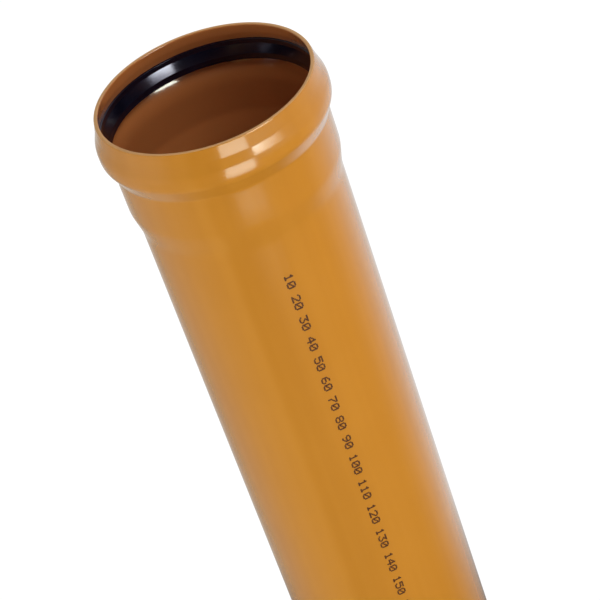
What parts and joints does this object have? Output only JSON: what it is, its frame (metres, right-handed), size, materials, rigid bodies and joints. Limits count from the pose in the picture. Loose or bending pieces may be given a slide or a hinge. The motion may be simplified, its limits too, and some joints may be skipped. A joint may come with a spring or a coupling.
{
  "type": "socketed PVC sewer pipe",
  "caption": "Straight orange-brown plastic sewer pipe with a belled push-fit socket and a black rubber lip ring in its groove, standing on its chamfered plain end.",
  "frame": {"origin": "centre of the spigot end face, on the pipe's axis, where the pipe stands on the floor", "axes": "+Z along the pipe's axis from the spigot end to the socket's mouth; +X and +Y are across it, and the pipe is the same all round"},
  "size_m": [0.2258, 0.2256, 1.095],
  "materials": {
    "pvc": "semi-gloss extruded orange-brown PVC-U",
    "rubber": "smooth black moulded rubber with a satin skin"
  },
  "bodies": {
    "root": {"pipe": "pvc", "sealing_ring": "rubber"}
  },
  "joints": []
}
